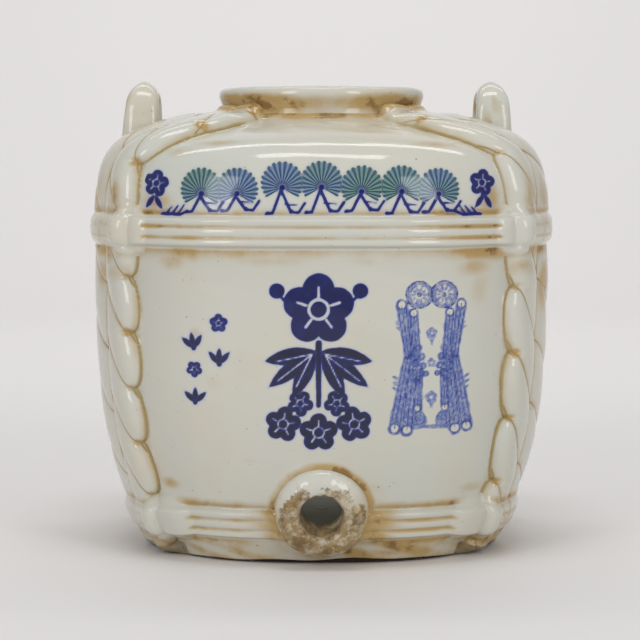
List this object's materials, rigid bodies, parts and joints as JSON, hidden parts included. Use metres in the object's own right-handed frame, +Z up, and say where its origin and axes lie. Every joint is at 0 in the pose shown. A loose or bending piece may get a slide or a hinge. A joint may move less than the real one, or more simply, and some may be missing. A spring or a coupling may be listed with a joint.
{
  "type": "sake bottle",
  "caption": "Wide white porcelain sake jar moulded as a rope-tied straw keg, with a short mouth collar, shoulder lugs and a low front boss bored for a tap.",
  "frame": {"origin": "middle of the foot ring, on the surface that the jar stands on", "axes": "+Z up; -Y towards the spigot boss; +X to the right of a viewer who faces the boss"},
  "size_m": [0.2554, 0.2462, 0.259],
  "materials": {
    "white_glaze": "gloss",
    "stained_glaze": "gloss",
    "bare_clay": "matte"
  },
  "bodies": {
    "root": {"foot_ring": "bare_clay", "base_slab": "white_glaze", "body_wall": "white_glaze", "shoulder": "white_glaze", "mouth_collar": "white_glaze", "spigot_boss": "bare_clay", "lug_left": "white_glaze", "lug_right": "white_glaze", "front_left_inner_rope": "stained_glaze", "front_left_outer_rope": "stained_glaze", "front_right_inner_rope": "stained_glaze", "front_right_outer_rope": "stained_glaze", "back_left_inner_rope": "stained_glaze", "back_left_outer_rope": "stained_glaze", "back_right_inner_rope": "stained_glaze", "back_right_outer_rope": "stained_glaze", "upper_hoop": "stained_glaze", "lower_hoop": "stained_glaze", "upper_knots": "stained_glaze", "lower_knots": "stained_glaze"}
  },
  "joints": []
}
